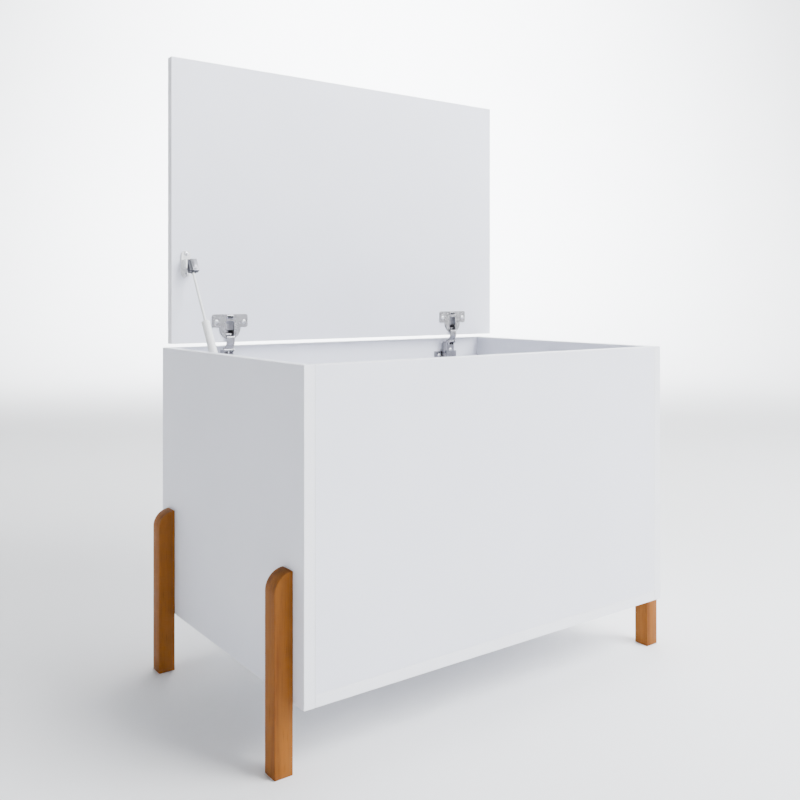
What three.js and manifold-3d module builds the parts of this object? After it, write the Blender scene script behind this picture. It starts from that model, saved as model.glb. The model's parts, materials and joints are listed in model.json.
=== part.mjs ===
// A storage bench: a white box on four solid wood legs, with a lid on two cup hinges and one lid stay.
// Millimetres. +X right, -Y front, +Z up. The origin is on the floor, under the middle of the box.
// The lid is drawn open at a right angle, which is every joint's rest position.
import * as THREE from 'three';
import { mergeVertices } from 'three/addons/utils/BufferGeometryUtils.js';
import Module from 'manifold-3d';

const wasm = await Module();
wasm.setup();

// ---- driving dimensions: carcass and legs ----
const WIDTH = 660;
const DEPTH = 446;
const BOX_HEIGHT = 407;
const BOARD = 15;
const EDGE_BREAK = 0.6;
const CLEARANCE = 86;
const LEG = 25;
const LEG_HEIGHT = 245;
const LEG_INSET = 26;
const TOP = CLEARANCE + BOX_HEIGHT;
const LEG_BOLT = { shank: 3, head: 6, headThick: 3, length: 30 };
const LEG_BOLT_HEIGHTS = [112, 205];

// ---- driving dimensions: lid, open and closed ----
const LID_OPEN_FACE = 37;
const LID_OPEN_LIFT = 7;
const LID_CLOSED_GAP = 1.5;

// ---- driving dimensions: cup hinges ----
// Hinge shapes are drawn side on: s is the distance forward of the box's back, h the height over its top.
const HINGE_INSET = 98;
const HINGE_X = [-WIDTH / 2 + HINGE_INSET, WIDTH / 2 - HINGE_INSET];
const CUP = { radius: 17.5, depth: 13.3, wall: 0.6, setback: 22.5, plate: 1.2, rim: 0.8 };
const CUP_EARS = { half: 31, low: 24, high: 45, corner: 3, screwX: 24, screwUp: 33 };
const MOUTH = { half: 7.1, low: 6.8, high: 34.5, deep: 11.7 };
const LID_PIVOT = { up: 12, deep: 6 };
const LINK = { half: 6.6, thick: 2.8, boss: 2.6, hole: 1.4, elbows: [[40, 5], [40.2, 15]] };
const PIN = { radius: 1.1, overhang: 4 };
const ARM = { half: 8.6, wall: 1.4, back: 19.3, front: 32.2, low: -62, web: -12, ear: 3.6 };
const PLATE = { back: 15, front: 18.8, half: 26.5, wing: 2.2, wingLow: -41, wingHigh: -25, gap: 1 };
const CORE = { half: 6, low: -60, high: -8, floor: 1 };
const PLATE_SCREW_X = 16;
const ADJUSTERS = [-22, -48];
const LINK_REACH = 22;

// ---- driving dimensions: lid stay ----
const STAY_X = -WIDTH / 2 + 27;
const STAY_TOP = { up: 124, proud: 11.5 };
const STAY_ANGLE = 58;
const STAY_LENGTH = 394;
const ROD = { radius: 2, piston: 4.4, pistonLength: 4, start: 13, showing: 91, inside: 14 };
const TUBE = { radius: 6.2, bore: 4.9, length: 191, collar: 5 };
const SOCKET = { half: 7, front: 5.6, back: 4, top: 5.5, length: 17, edge: 0.8 };
const CLIP = { thick: 1.1, left: 2.5, right: 8.5, cheek: 1, low: -15.5 };
const STUD_RADIUS = 3;
const LID_BRACKET = { width: 15, length: 42, thick: 2.5, offset: -4.2, corner: 7.4 };
const LID_TAB = { x: -9, half: 1.2, forward: 5, reach: 7 };
const BOX_BRACKET = { width: 16, length: 46, thick: 2.5 };
const STAY_SCREW = 16.5;

// ---- driving dimensions: screws and fits ----
const WOOD_SCREW = { shank: 1.8, head: 3.6, headThick: 1.6, length: 12 };
const ADJUSTER = { ...WOOD_SCREW, length: 11 };
const BRACKET_HOLE = { outside: 9, inside: 2 };
// FIT is the gap between touching pieces. Cutting tools run PAST the face they cut, and joined shapes LAP.
const FIT = 0.3;
const PAST = 1;
const LAP = 1;
const FACETS = { hole: 12, pin: 16, head: 20, tube: 24, cup: 32 };

// ---- finishes ----
const finish = (color, roughness, metalness) =>
  new THREE.MeshStandardMaterial({ color, roughness, metalness });
const WHITE = () => finish(0xe6e7ea, 0.45, 0);
const OAK = () => finish(0xa9713a, 0.5, 0);
const NICKEL = () => finish(0xc9c8c8, 0.28, 1);
const STEEL = () => finish(0x9a9a9e, 0.35, 1);
const WHITE_ENAMEL = () => finish(0xeeeeee, 0.35, 0);
const DARK_PLASTIC = () => finish(0x55565c, 0.5, 0);

// ---- solids: joining and cutting ----
function solid(geometry) {
  const bare = geometry.clone();
  bare.deleteAttribute('normal');
  bare.deleteAttribute('uv');
  const merged = mergeVertices(bare, 1e-4);
  const vertProperties = new Float32Array(merged.attributes.position.array);
  const triVerts = new Uint32Array(merged.index.array);
  return new wasm.Manifold(new wasm.Mesh({ numProp: 3, vertProperties, triVerts }));
}

function geometryOf(body) {
  const mesh = body.getMesh();
  const geometry = new THREE.BufferGeometry();
  geometry.setAttribute('position', new THREE.BufferAttribute(new Float32Array(mesh.vertProperties), 3));
  geometry.setIndex(new THREE.BufferAttribute(new Uint32Array(mesh.triVerts), 1));
  return geometry;
}

function join(...pieces) {
  return geometryOf(pieces.map(solid).reduce((whole, piece) => whole.add(piece)));
}

function cut(piece, ...tools) {
  return geometryOf(tools.map(solid).reduce((whole, tool) => whole.subtract(tool), solid(piece)));
}

// ---- shapes ----
// A block between two corners, its long edges broken by a small chamfer when edge is given.
function block(low, high, edge = 0) {
  const size = high.map((value, i) => value - low[i]);
  const middle = high.map((value, i) => (value + low[i]) / 2);
  if (!edge) return new THREE.BoxGeometry(...size).translate(...middle);
  const [half, up] = [size[0] / 2 - edge, size[1] / 2 - edge];
  const face = new THREE.Shape();
  face.moveTo(-half, -up).lineTo(half, -up).lineTo(half, up).lineTo(-half, up).closePath();
  const bevel = { bevelEnabled: true, bevelSize: edge, bevelThickness: edge, bevelSegments: 1 };
  const slab = new THREE.ExtrudeGeometry(face, { depth: size[2] - 2 * edge, ...bevel });
  return slab.translate(middle[0], middle[1], low[2] + edge);
}

function rod(radius, from, to, facets = FACETS.pin) {
  const start = new THREE.Vector3(...from);
  const line = new THREE.Vector3(...to).sub(start);
  const shaft = new THREE.CylinderGeometry(radius, radius, line.length(), facets);
  const upright = new THREE.Vector3(0, 1, 0);
  const turn = new THREE.Quaternion().setFromUnitVectors(upright, line.clone().normalize());
  return shaft.applyQuaternion(turn).translate(...start.addScaledVector(line, 0.5));
}

// A headed screw: the head sits on the point `at`, and the shank runs `length` along `into`.
function screw(at, into, { shank, head, headThick, length }) {
  const point = (distance) => at.map((value, i) => value + into[i] * distance);
  const cap = rod(head, point(-headThick), at, FACETS.head);
  return join(cap, rod(shank, point(-headThick / 2), point(length), FACETS.hole));
}

// An outline given as [s, h] points, drawn side on and extruded from x0 to x1.
function sidePlate(shape, x0, x1) {
  const toSide = new THREE.Matrix4().makeBasis(
    new THREE.Vector3(0, -1, 0), new THREE.Vector3(0, 0, 1), new THREE.Vector3(-1, 0, 0));
  const slab = new THREE.ExtrudeGeometry(shape, { depth: x1 - x0, bevelEnabled: false, curveSegments: 8 });
  return slab.applyMatrix4(toSide).translate(x1, 0, 0);
}

// A rod running across the bench, from x0 to x1, through an [s, h] point.
const crossRod = (radius, x0, x1, [s, h]) => rod(radius, [x0, -s, h], [x1, -s, h]);

function sideBlock(s0, s1, h0, h1, x0, x1) {
  return block([x0, -s1, h0], [x1, -s0, h1]);
}

// A strip of even thickness with round ends, from one [s, h] point to another.
function strip(from, to, thick, x0, x1) {
  const angle = Math.atan2(to[1] - from[1], to[0] - from[0]);
  const shape = new THREE.Shape();
  shape.absarc(from[0], from[1], thick / 2, angle + Math.PI / 2, angle + 1.5 * Math.PI);
  shape.absarc(to[0], to[1], thick / 2, angle - Math.PI / 2, angle + Math.PI / 2);
  return sidePlate(shape, x0, x1);
}

function rounded(width, height, radius) {
  const [w, h] = [width / 2, height / 2];
  const shape = new THREE.Shape();
  shape.moveTo(w, -h + radius);
  shape.absarc(w - radius, h - radius, radius, 0, Math.PI / 2);
  shape.absarc(-w + radius, h - radius, radius, Math.PI / 2, Math.PI);
  shape.absarc(-w + radius, -h + radius, radius, Math.PI, 1.5 * Math.PI);
  shape.absarc(w - radius, -h + radius, radius, 1.5 * Math.PI, 2 * Math.PI);
  return shape;
}

function part(name, geometry, material) {
  const mesh = new THREE.Mesh(geometry, material);
  mesh.name = name;
  return mesh;
}

const bench = new THREE.Group();
const halfWidth = WIDTH / 2;
const halfDepth = DEPTH / 2;

// ---- where the moving points are, side on, with the lid open ----
const onLid = (up, deep) => [LID_OPEN_FACE - deep, LID_OPEN_LIFT + up];
const lidPivot = onLid(LID_PIVOT.up, LID_PIVOT.deep);
const closedPivot = [LID_PIVOT.up, LID_CLOSED_GAP + LID_PIVOT.deep];
const swing = [lidPivot[0] - closedPivot[0], lidPivot[1] - closedPivot[1]];
const swingLength = Math.hypot(...swing);
// The link's fixed pivot is level with both places of the lid's pivot, LINK_REACH from the line between them.
const boxPivot = [
  (lidPivot[0] + closedPivot[0]) / 2 + (swing[1] / swingLength) * LINK_REACH,
  (lidPivot[1] + closedPivot[1]) / 2 - (swing[0] / swingLength) * LINK_REACH,
];

// ---- legs and their bolts ----
function legShape() {
  const shape = new THREE.Shape();
  shape.moveTo(0, 0).lineTo(LEG, 0).lineTo(LEG, LEG_HEIGHT - LEG);
  shape.absarc(0, LEG_HEIGHT - LEG, LEG, 0, Math.PI / 2);
  shape.closePath();
  return shape;
}

const boltTools = { left: [], right: [] };
for (const [side, sign] of [['left', -1], ['right', 1]]) {
  for (const [place, y0] of [['front', -halfDepth + LEG_INSET], ['back', halfDepth - LEG_INSET - LEG]]) {
    const yMiddle = y0 + LEG / 2;
    const inner = sign * (halfWidth - BOARD);
    const bolts = LEG_BOLT_HEIGHTS.map((z) => [inner, yMiddle, z]);
    const holes = bolts.map(([x, y, z]) => rod(LEG_BOLT.shank, [x - sign * PAST, y, z],
      [x + sign * LEG_BOLT.length, y, z], FACETS.hole));
    const post = new THREE.ExtrudeGeometry(legShape(),
      { depth: LEG, bevelEnabled: false, curveSegments: 10 });
    post.rotateX(Math.PI / 2);
    if (sign < 0) post.rotateZ(Math.PI);
    post.translate(sign * halfWidth, sign < 0 ? y0 : y0 + LEG, 0);
    bench.add(part(`leg_${place}_${side}`, cut(post, ...holes), OAK()));
    boltTools[side].push(...holes);
    bolts.forEach((at, i) => {
      const bolt = screw(at, [sign, 0, 0], LEG_BOLT);
      bench.add(part(`leg_bolt_${place}_${side}_${i ? 'upper' : 'lower'}`, bolt, STEEL()));
    });
  }
}

// ---- hinge and stay screws: where each goes in ----
const BACKWARD = [0, 1, 0];
const LEFTWARD = [-1, 0, 0];
const screwClearance = WOOD_SCREW.shank + FIT;
const along = (at, into, distance) => at.map((value, i) => value + into[i] * distance);
const proud = ([x, y, z], thick) => [x, y - thick, z];
const pilot = (at, into) => rod(WOOD_SCREW.shank, along(at, into, -PAST), along(at, into, WOOD_SCREW.length),
  FACETS.hole);

const lidFace = halfDepth - LID_OPEN_FACE;
const cupScrews = HINGE_X.map((x) => [-1, 1].map((side) =>
  [x + side * CUP_EARS.screwX, lidFace, TOP + LID_OPEN_LIFT + CUP_EARS.screwUp]));
const plateHeight = TOP + (PLATE.wingLow + PLATE.wingHigh) / 2;
const plateScrews = HINGE_X.map((x) => [-1, 1].map((side) =>
  [x + side * PLATE_SCREW_X, halfDepth - PLATE.back, plateHeight]));
const stayTop = [STAY_X, lidFace - STAY_TOP.proud, TOP + LID_OPEN_LIFT + STAY_TOP.up];
const stayTilt = THREE.MathUtils.degToRad(STAY_ANGLE);
const stayFoot = along(stayTop, [0, -Math.cos(stayTilt), -Math.sin(stayTilt)], STAY_LENGTH);
const lidBracketX = STAY_X + LID_BRACKET.offset;
const boxWall = -halfWidth + BOARD;
const lidBracketScrews = [-1, 1].map((side) => [lidBracketX, lidFace, stayTop[2] + side * STAY_SCREW]);
const boxBracketScrews = [-1, 1].map((side) => [boxWall, stayFoot[1], stayFoot[2] + side * STAY_SCREW]);

// ---- the five boards of the box ----
const innerX = halfWidth - BOARD;
const sideBoard = (x0) => block([x0, -halfDepth, CLEARANCE], [x0 + BOARD, halfDepth, TOP], EDGE_BREAK);
const leftCuts = [...boltTools.left, ...boxBracketScrews.map((at) => pilot(at, LEFTWARD))];
bench.add(part('side_panel_left', cut(sideBoard(-halfWidth), ...leftCuts), WHITE()));
bench.add(part('side_panel_right', cut(sideBoard(innerX), ...boltTools.right), WHITE()));
bench.add(part('bottom_panel',
  block([-innerX, -halfDepth, CLEARANCE], [innerX, halfDepth, CLEARANCE + BOARD], EDGE_BREAK), WHITE()));
const wallBoard = (y0) => block([-innerX, y0, CLEARANCE + BOARD], [innerX, y0 + BOARD, TOP], EDGE_BREAK);
bench.add(part('front_panel', wallBoard(-halfDepth), WHITE()));
const backCuts = plateScrews.flat().map((at) => pilot(at, BACKWARD));
bench.add(part('back_panel', cut(wallBoard(halfDepth - BOARD), ...backCuts), WHITE()));

// ---- lid ----
const lidLow = TOP + LID_OPEN_LIFT;
const lidBoard = block([-halfWidth, lidFace, lidLow],
  [halfWidth, lidFace + BOARD, lidLow + DEPTH], EDGE_BREAK);
const cupHoles = HINGE_X.map((x) => rod(CUP.radius, [x, lidFace - PAST, lidLow + CUP.setback],
  [x, lidFace + CUP.depth, lidLow + CUP.setback], FACETS.cup));
const lidPilots = [...cupScrews.flat(), ...lidBracketScrews].map((at) => pilot(at, BACKWARD));
bench.add(part('lid', cut(lidBoard, ...cupHoles, ...lidPilots), WHITE()));

// ---- cup hinges ----
function hingeCup() {
  const bowl = rod(CUP.radius, [0, -CUP.plate / 2, 0], [0, CUP.depth, 0], FACETS.cup);
  const hollow = rod(CUP.radius - CUP.wall, [0, 0, 0], [0, CUP.depth - CUP.wall, 0], FACETS.cup);
  const earHeight = CUP_EARS.high - CUP_EARS.low;
  const rimRadius = CUP.radius + CUP.rim;
  const rim = new THREE.CylinderGeometry(rimRadius, rimRadius, CUP.plate, FACETS.cup);
  const ears = new THREE.ExtrudeGeometry(rounded(2 * CUP_EARS.half, earHeight, CUP_EARS.corner),
    { depth: CUP.plate, bevelEnabled: false, curveSegments: 4 });
  ears.rotateX(Math.PI / 2).translate(0, 0, (CUP_EARS.low + CUP_EARS.high) / 2 - CUP.setback);
  const mouth = block([-MOUTH.half, -2 * CUP.plate, MOUTH.low - CUP.setback],
    [MOUTH.half, MOUTH.deep, MOUTH.high - CUP.setback]);
  const screwUp = CUP_EARS.screwUp - CUP.setback;
  const screwX = [-CUP_EARS.screwX, CUP_EARS.screwX];
  const screwHoles = screwX.map((x) => rod(screwClearance, [x, -2 * CUP.plate, screwUp],
    [x, CUP.plate, screwUp], FACETS.hole));
  const plate = join(rim.translate(0, -CUP.plate / 2, 0), ears);
  return cut(join(bowl, plate), hollow, mouth, ...screwHoles);
}

function hingeLink() {
  const path = [boxPivot, ...LINK.elbows, lidPivot];
  const strips = path.slice(1).map((to, i) => strip(path[i], to, LINK.thick, -LINK.half, LINK.half));
  const bosses = [boxPivot, lidPivot].map((at) => crossRod(LINK.boss, -LINK.half, LINK.half, at));
  const holeHalf = LINK.half + PAST;
  const holes = [boxPivot, lidPivot].map((at) => crossRod(LINK.hole, -holeHalf, holeHalf, at));
  return cut(join(...strips, ...bosses), ...holes);
}

function hingeArm() {
  const channel = sideBlock(ARM.back, ARM.front, ARM.low, ARM.web, -ARM.half, ARM.half);
  const inside = ARM.half - ARM.wall;
  const hollow = sideBlock(0, ARM.front - ARM.wall, ARM.low - PAST, ARM.web + PAST, -inside, inside);
  const ears = [[-ARM.half, -inside], [inside, ARM.half]].flatMap(([x0, x1]) => [
    crossRod(ARM.ear, x0, x1, boxPivot),
    sideBlock(ARM.back, ARM.front, ARM.web - LAP, boxPivot[1], x0, x1),
  ]);
  const pinHole = crossRod(PIN.radius, -ARM.half - PAST, ARM.half + PAST, boxPivot);
  const screwHoles = ADJUSTERS.map((h) => rod(screwClearance, [0, -ARM.front - PAST, h],
    [0, -ARM.front + 2 * ARM.wall, h], FACETS.hole));
  return cut(join(cut(channel, hollow), ...ears), pinHole, ...screwHoles);
}

function mountingPlate() {
  const wings = sideBlock(PLATE.back, PLATE.back + PLATE.wing, PLATE.wingLow, PLATE.wingHigh,
    -PLATE.half, PLATE.half);
  const core = sideBlock(PLATE.back, PLATE.front, CORE.low, CORE.high, -CORE.half, CORE.half);
  const saddle = sideBlock(PLATE.front - LAP, ARM.front - ARM.wall - PLATE.gap, ADJUSTERS[1] - CORE.half,
    ADJUSTERS[0] + CORE.half, -CORE.half, CORE.half);
  const screwUp = plateHeight - TOP;
  const holes = [-PLATE_SCREW_X, PLATE_SCREW_X].map((x) => rod(screwClearance,
    [x, -PLATE.front - PAST, screwUp], [x, PAST - PLATE.back, screwUp], FACETS.hole));
  const threads = ADJUSTERS.map((h) => rod(screwClearance, [0, -ARM.front, h],
    [0, -PLATE.back - CORE.floor, h], FACETS.hole));
  return cut(join(wings, core, saddle), ...holes, ...threads);
}

HINGE_X.forEach((x, i) => {
  const side = ['left', 'right'][i];
  const hinge = new THREE.Group();
  hinge.position.set(x, halfDepth, TOP);
  const cup = part(`hinge_cup_${side}`, hingeCup(), NICKEL());
  cup.position.set(0, -LID_OPEN_FACE, LID_OPEN_LIFT + CUP.setback);
  hinge.add(cup);
  hinge.add(part(`hinge_link_${side}`, hingeLink(), NICKEL()));
  hinge.add(part(`hinge_arm_${side}`, hingeArm(), NICKEL()));
  hinge.add(part(`hinge_plate_${side}`, mountingPlate(), NICKEL()));
  const cupPinHalf = LINK.half + PIN.overhang;
  hinge.add(part(`hinge_arm_pin_${side}`, crossRod(PIN.radius, -ARM.half, ARM.half, boxPivot), STEEL()));
  hinge.add(part(`hinge_cup_pin_${side}`, crossRod(PIN.radius, -cupPinHalf, cupPinHalf, lidPivot), STEEL()));
  ADJUSTERS.forEach((h, j) => {
    const adjuster = screw([0, -ARM.front, h], BACKWARD, ADJUSTER);
    hinge.add(part(`hinge_${j ? 'clamp' : 'depth'}_screw_${side}`, adjuster, STEEL()));
  });
  bench.add(hinge);
  const ends = side === 'left' ? ['outer', 'inner'] : ['inner', 'outer'];
  ends.forEach((end, j) => {
    const cupScrew = screw(proud(cupScrews[i][j], CUP.plate), BACKWARD, WOOD_SCREW);
    const plateScrew = screw(proud(plateScrews[i][j], PLATE.wing), BACKWARD, WOOD_SCREW);
    bench.add(part(`cup_screw_${side}_${end}`, cupScrew, STEEL()));
    bench.add(part(`plate_screw_${side}_${end}`, plateScrew, STEEL()));
  });
});

// ---- lid stay: drawn along its own -Z, then tilted about its top ball ----
const stay = new THREE.Group();
stay.position.set(...stayTop);
stay.rotation.x = stayTilt - Math.PI / 2;

const rodClearance = ROD.radius + FIT;

function stayEnd(turned) {
  const head = block([-SOCKET.half, -SOCKET.front, -SOCKET.length], [SOCKET.half, SOCKET.back, SOCKET.top],
    SOCKET.edge);
  const rodHole = rod(rodClearance, [0, 0, -ROD.start + FIT], [0, 0, -SOCKET.length - PAST], FACETS.hole);
  const end = cut(head, rodHole);
  return turned ? end.rotateX(Math.PI) : end;
}

// A rod with a piston on its hidden end, turned from a profile of [radius, height] points.
function pistonRod(bareEnd, pistonEnd) {
  const crown = pistonEnd + Math.sign(bareEnd - pistonEnd) * ROD.pistonLength;
  const outline = [[0, bareEnd], [ROD.radius, bareEnd], [ROD.radius, crown], [ROD.piston, crown],
    [ROD.piston, pistonEnd], [0, pistonEnd]].map(([r, z]) => new THREE.Vector2(r, z));
  if (bareEnd > pistonEnd) outline.reverse();
  return new THREE.LatheGeometry(outline, FACETS.head).rotateX(Math.PI / 2);
}

const tubeTop = -ROD.start - ROD.showing;
const tubeLow = tubeTop - TUBE.length;

// The tube's wall: a bore with a collar at each end that the rods slide through.
function stayTube() {
  const outline = [[rodClearance, tubeTop], [rodClearance, tubeTop - TUBE.collar],
    [TUBE.bore, tubeTop - TUBE.collar], [TUBE.bore, tubeLow + TUBE.collar],
    [rodClearance, tubeLow + TUBE.collar], [rodClearance, tubeLow], [TUBE.radius, tubeLow],
    [TUBE.radius, tubeTop], [rodClearance, tubeTop]].map(([r, z]) => new THREE.Vector2(r, z));
  return new THREE.LatheGeometry(outline, FACETS.tube).rotateX(Math.PI / 2);
}

// The bright clip over the upper socket: a front, and a cheek on the right.
function stayClip() {
  const back = -SOCKET.front - FIT;
  const face = back - CLIP.thick;
  const front = block([-CLIP.left, face, CLIP.low], [CLIP.right, back, SOCKET.top]);
  const cheek = block([SOCKET.half + FIT, face, CLIP.low], [CLIP.right, CLIP.cheek, SOCKET.top]);
  return join(front, cheek);
}

stay.add(part('stay_socket_upper', stayEnd(false), DARK_PLASTIC()));
stay.add(part('stay_clip', stayClip(), NICKEL()));
stay.add(part('stay_rod_upper', pistonRod(-ROD.start, tubeTop - ROD.inside), WHITE_ENAMEL()));
stay.add(part('stay_tube', stayTube(), WHITE_ENAMEL()));
stay.add(part('stay_rod_lower', pistonRod(ROD.start - STAY_LENGTH, tubeLow + ROD.inside), WHITE_ENAMEL()));
const foot = part('stay_socket_lower', stayEnd(true), DARK_PLASTIC());
foot.position.z = -STAY_LENGTH;
stay.add(foot);
bench.add(stay);

// ---- lid stay brackets and their screws ----
const bracketHole = (at, into) => rod(screwClearance, along(at, into, -BRACKET_HOLE.outside),
  along(at, into, BRACKET_HOLE.inside), FACETS.hole);
const studEnd = STAY_X - SOCKET.half - FIT;

function lidBracket() {
  const outline = rounded(LID_BRACKET.width, LID_BRACKET.length, LID_BRACKET.corner);
  const base = new THREE.ExtrudeGeometry(outline,
    { depth: LID_BRACKET.thick, bevelEnabled: false, curveSegments: 8 });
  base.rotateX(Math.PI / 2).translate(lidBracketX, lidFace, stayTop[2]);
  const [, y, z] = stayTop;
  const tabX = STAY_X + LID_TAB.x;
  const tab = block([tabX - LID_TAB.half, y - LID_TAB.forward, z - LID_TAB.reach],
    [tabX + LID_TAB.half, lidFace, z + LID_TAB.reach]);
  const stud = rod(STUD_RADIUS, [tabX, y, z], [studEnd, y, z]);
  return cut(join(base, tab, stud), ...lidBracketScrews.map((at) => bracketHole(at, BACKWARD)));
}

function boxBracket() {
  const [, y, z] = stayFoot;
  const [w, h] = [BOX_BRACKET.width / 2, BOX_BRACKET.length / 2];
  const base = block([boxWall, y - w, z - h], [boxWall + BOX_BRACKET.thick, y + w, z + h], EDGE_BREAK);
  const stud = rod(STUD_RADIUS, [boxWall + LAP, y, z], [studEnd, y, z]);
  return cut(join(base, stud), ...boxBracketScrews.map((at) => bracketHole(at, LEFTWARD)));
}

bench.add(part('stay_bracket_lid', lidBracket(), WHITE_ENAMEL()));
bench.add(part('stay_bracket_box', boxBracket(), WHITE_ENAMEL()));
['lower', 'upper'].forEach((place, i) => {
  const lidScrew = screw(proud(lidBracketScrews[i], LID_BRACKET.thick), BACKWARD, WOOD_SCREW);
  const boxScrew = screw(along(boxBracketScrews[i], LEFTWARD, -BOX_BRACKET.thick), LEFTWARD, WOOD_SCREW);
  bench.add(part(`lid_bracket_screw_${place}`, lidScrew, STEEL()));
  bench.add(part(`box_bracket_screw_${place}`, boxScrew, STEEL()));
});

export default bench;
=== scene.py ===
"""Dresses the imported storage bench: boards, legs, hinges, lid stay, finishes, floor, lights and camera."""
import json
import math

import bmesh
import bpy
from bpy.props import FloatProperty, FloatVectorProperty, IntProperty, PointerProperty
from mathutils import Matrix, Vector


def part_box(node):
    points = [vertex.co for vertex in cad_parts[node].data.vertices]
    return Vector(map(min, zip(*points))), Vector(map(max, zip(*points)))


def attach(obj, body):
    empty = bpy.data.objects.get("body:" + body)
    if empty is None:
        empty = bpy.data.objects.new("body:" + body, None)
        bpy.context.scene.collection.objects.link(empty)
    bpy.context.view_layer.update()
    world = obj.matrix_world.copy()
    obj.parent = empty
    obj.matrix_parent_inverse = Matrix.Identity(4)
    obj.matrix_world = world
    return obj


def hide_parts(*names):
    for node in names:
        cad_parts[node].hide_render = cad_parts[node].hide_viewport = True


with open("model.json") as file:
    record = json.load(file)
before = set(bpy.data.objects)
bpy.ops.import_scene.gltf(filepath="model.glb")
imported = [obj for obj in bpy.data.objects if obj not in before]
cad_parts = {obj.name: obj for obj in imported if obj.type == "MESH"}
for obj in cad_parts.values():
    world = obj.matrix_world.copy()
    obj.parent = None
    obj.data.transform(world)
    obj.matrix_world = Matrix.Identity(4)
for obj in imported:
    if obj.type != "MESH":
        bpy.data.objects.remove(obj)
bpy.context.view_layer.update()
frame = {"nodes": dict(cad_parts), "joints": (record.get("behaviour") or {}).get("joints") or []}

bl_info = {
    "name": "Storage Bench",
    "version": (1, 0, 0),
    "blender": (4, 5, 0),
    "location": "3D View > Sidebar > Bench",
    "description": "Builds the looks of a white storage bench on wooden legs",
    "category": "Add Mesh",
}

MM = 0.001
JOINTS = {joint["name"]: joint for joint in frame["joints"]}
SIDES = ("left", "right")
FORWARD = (0, -1, 0)
RIGHTWARD = (1, 0, 0)
CREASE = math.radians(35)
# A board's two broad faces: how squarely they face, and the square metres they are larger than.
FLAT, BROAD_AREA = 0.999, 0.02
# How much of a board's rounded edge counts towards the width of its band.
BAND_LAP = 0.4


def mm(*lengths):
    """Lengths in millimetres, as metres."""
    return tuple(length * MM for length in lengths)


# ---------------------------------------------------------------- sizes

# The hinge cups: their bore in the lid, their rim, and a pale painted reflection in their deep upper part,
# which stands in for bright metal catching the light.
CUP_BORE, CUP_BORE_DEPTH, CUP_RIM = mm(17.5, 18, 18.3)
PAINTED_REFLECTION_DEPTH, PAINTED_REFLECTION_SILL = mm(1, 19)

# The two small plates on each cup, one on the other, and how far below the cup's top their middle is.
PLATE_DROP = 4.2 * MM
COVER = {"outline": mm(14, 6.4, 2.4), "thick": 1.0 * MM, "edge": 0.35 * MM, "proud": 0.0}
SWITCH = {"outline": mm(10, 3.8, 1.5), "thick": 0.5 * MM, "edge": 0.15 * MM, "proud": 0.9 * MM}

# Round heads: how much of the height is lost at the edge, and the height as a share of the radius.
SCREW_HEAD = {"dome": 0.75, "height": 0.44}
BOLT_HEAD = {"dome": 0.35, "height": 0.5}
RIVET_HEAD = {"dome": 0.9, "height": 0.42, "rings": 6, "steps": 24}

# The lid stay's rods and tube. The tube's groove is a list of (distance from its end, depth).
ROD_RADIUS, TUBE_RADIUS = mm(2, 6.2)
ROD_GAP, TUBE_LIP, TUBE_MOUTH = mm(0.3, 0.7, 3)
TUBE_GROOVE = (mm(5, 0), mm(5.4, 0.25), mm(6, 0.25), mm(6.4, 0))

# The stay's sockets and clip, about the ball: X across, Y to the back, Z up the stay.
BALL_BELOW_END = 5.5 * MM
SOCKET = {"low": mm(-7, -5.6, -15), "high": mm(7, 4, 5.5), "edge": 1.1 * MM}
# A rib's corners about its own height, and the ribs' heights, both in millimetres.
RIB = {"low": (-7.25, -4, -0.7), "high": (-6.6, 2.4, 0.7), "edge": 0.25 * MM}
RIB_HEIGHTS = (-5.5, -8.5, -11.5)
COLLAR = (mm(0, -17), mm(3.3, -17), mm(3.6, -14), mm(0, -14))
COLLAR_EDGE = 0.6 * MM
COLLAR_STEPS = 32
CLIP_FRONT = {"low": mm(-2.5, -7, -15.5), "high": mm(8.5, -5.9, 5.5), "edge": 0.4 * MM}
CLIP_CHEEK = {"low": mm(7.3, -6.9, -15.4), "high": mm(8.5, 1, 5.4), "edge": 0.35 * MM}
CLIP_OVAL = {"outline": mm(6.5, 11, 3.1), "thick": 0.7 * MM, "edge": 0.3 * MM}
CLIP_TONGUE = {"outline": mm(4.5, 4, 1.2), "thick": 0.8 * MM, "edge": 0.2 * MM}
OVAL_PLACE, TONGUE_PLACE = mm(3, -6.6, -4.5), mm(3, -6.5, -13)

# The room, in metres: a round floor that curves up into a wall, and the soft lights.
FLOOR = {"radius": 8.0, "curve": 3.0, "tall": 5.0, "curve_steps": 16, "turns": 96}
LIGHT_COLOUR = (0.94, 0.965, 1.0)
SKY_COLOUR = (0.97, 0.98, 1.0, 1.0)
KEY_LIGHT = {"size": 2.0, "at": (1.4, -2.2, 2.5), "aim": (0, 0.2, 0.85)}
TOP_LIGHT = {"size": 3.0, "at": (1.7, 0.6, 3.3), "aim": (0.8, 0.3, 0.0)}
# One light washes each fifth of the wall, turned about Z from behind the bench as the camera sees it.
WALL_LIGHT = {"size": 5.0, "at": (-0.2, 4.2, 4.8), "aim": (-0.2, 8.0, 1.4), "spread": math.radians(110)}
WALL_SHARES = (1.0, 0.01, 0.01, 0.08, 0.22)


# ---------------------------------------------------------------- settings

class BoardSettings(bpy.types.PropertyGroup):
    edge_round: FloatProperty(
        name="Edge rounding", description="Radius of the boards' long edges",
        default=0.0009, unit="LENGTH")
    band: FloatProperty(
        name="Edge band", description="Thickness of the band glued round each board",
        default=0.0010, unit="LENGTH")
    white: FloatVectorProperty(
        name="Board white", description="Colour of the melamine face",
        default=(0.765, 0.775, 0.845), subtype="COLOR", size=3)
    band_white: FloatVectorProperty(
        name="Band white", description="Colour of the edge band",
        default=(0.83, 0.835, 0.875), subtype="COLOR", size=3)


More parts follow.
